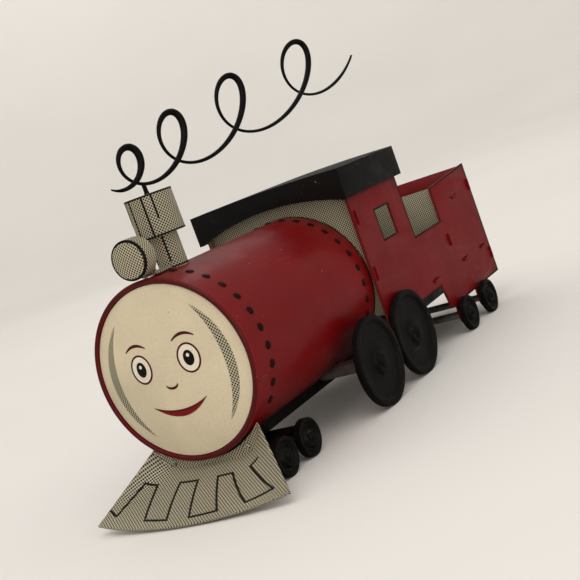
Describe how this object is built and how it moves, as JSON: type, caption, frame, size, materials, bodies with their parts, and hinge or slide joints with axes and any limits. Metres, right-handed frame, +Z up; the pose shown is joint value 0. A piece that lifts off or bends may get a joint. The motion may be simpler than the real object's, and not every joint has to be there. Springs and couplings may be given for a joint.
{
  "type": "toy locomotive",
  "caption": "Pressed-tin toy tank engine with a round face, open cab, integral bunker, cowcatcher, free-rolling wheels, swivelling front bogie and swinging rear coupling.",
  "frame": {"origin": "on the ground, at the middle of the engine's overall length and width", "axes": "+X forward, towards the face and cowcatcher; +Y to the engine's left; +Z up"},
  "size_m": [0.25, 0.0762, 0.1406],
  "materials": {
    "red_enamel": "gloss printed enamel on tinplate, lightly worn",
    "cream_enamel": "gloss printed enamel on tinplate, lightly worn",
    "grey_enamel": "grey printed as fine dark dots over cream, gloss",
    "black_enamel": "gloss enamel with small chips",
    "tinned_steel": "dull bare tinned steel"
  },
  "bodies": {
    "engine": {"main_frame": "black_enamel", "front_beam": "black_enamel", "cowcatcher": "grey_enamel", "cowcatcher_rivet_left": "grey_enamel", "cowcatcher_rivet_right": "grey_enamel", "boiler_shell": "red_enamel", "face_ring": "red_enamel", "face_plate": "cream_enamel", "headlamp_bracket": "grey_enamel", "headlamp_drum": "grey_enamel", "headlamp_disc": "grey_enamel", "chimney_tube": "grey_enamel", "chimney_cap": "grey_enamel", "smoke_wire": "black_enamel", "side_plate_left": "red_enamel", "side_plate_right": "red_enamel", "cab_front_plate": "grey_enamel", "bunker_bulkhead": "grey_enamel", "bunker_rear_plate": "red_enamel", "deck_plate": "black_enamel", "coal_floor": "grey_enamel", "cab_roof": "black_enamel", "bogie_rivet": "tinned_steel", "coupling_rivet": "tinned_steel"},
    "bogie": {"bogie_frame": "black_enamel", "bogie_washer": "tinned_steel"},
    "bogie_1_axle_set": {"bogie_1_axle": "tinned_steel", "bogie_1_wheel_left": "black_enamel", "bogie_1_wheel_right": "black_enamel"},
    "bogie_2_axle_set": {"bogie_2_axle": "tinned_steel", "bogie_2_wheel_left": "black_enamel", "bogie_2_wheel_right": "black_enamel"},
    "driver_1_axle_set": {"driver_1_axle": "tinned_steel", "driver_1_wheel_left": "black_enamel", "driver_1_wheel_right": "black_enamel", "driver_1_sleeve_left": "tinned_steel", "driver_1_sleeve_right": "tinned_steel"},
    "driver_2_axle_set": {"driver_2_axle": "tinned_steel", "driver_2_wheel_left": "black_enamel", "driver_2_wheel_right": "black_enamel", "driver_2_sleeve_left": "tinned_steel", "driver_2_sleeve_right": "tinned_steel"},
    "rear_1_axle_set": {"rear_1_axle": "tinned_steel", "rear_1_wheel_left": "black_enamel", "rear_1_wheel_right": "black_enamel"},
    "rear_2_axle_set": {"rear_2_axle": "tinned_steel", "rear_2_wheel_left": "black_enamel", "rear_2_wheel_right": "black_enamel"},
    "coupling": {"coupling_bar": "tinned_steel"}
  },
  "joints": [
    {"name": "bogie_swivel", "type": "hinge", "parent": "engine", "child": "bogie", "pos_m": [0.086, 0, 0.011], "axis": [0, 0, 1], "range_deg": [-9, 9]},
    {"name": "bogie_1_axle_spin", "type": "hinge", "parent": "bogie", "child": "bogie_1_axle_set", "pos_m": [0.0942, 0, 0.0065], "axis": [0, 1, 0], "continuous": true},
    {"name": "bogie_2_axle_spin", "type": "hinge", "parent": "bogie", "child": "bogie_2_axle_set", "pos_m": [0.0778, 0, 0.0065], "axis": [0, 1, 0], "continuous": true},
    {"name": "driver_1_axle_spin", "type": "hinge", "parent": "engine", "child": "driver_1_axle_set", "pos_m": [0.0355, 0, 0.01638], "axis": [0, 1, 0], "continuous": true},
    {"name": "driver_2_axle_spin", "type": "hinge", "parent": "engine", "child": "driver_2_axle_set", "pos_m": [0.0013, 0, 0.01638], "axis": [0, 1, 0], "continuous": true},
    {"name": "rear_1_axle_spin", "type": "hinge", "parent": "engine", "child": "rear_1_axle_set", "pos_m": [-0.055, 0, 0.00729], "axis": [0, 1, 0], "continuous": true},
    {"name": "rear_2_axle_spin", "type": "hinge", "parent": "engine", "child": "rear_2_axle_set", "pos_m": [-0.0815, 0, 0.00729], "axis": [0, 1, 0], "continuous": true},
    {"name": "coupling_swing", "type": "hinge", "parent": "engine", "child": "coupling", "pos_m": [-0.104, 0, 0.0107], "axis": [0, 0, 1], "range_deg": [-25, 25]}
  ]
}
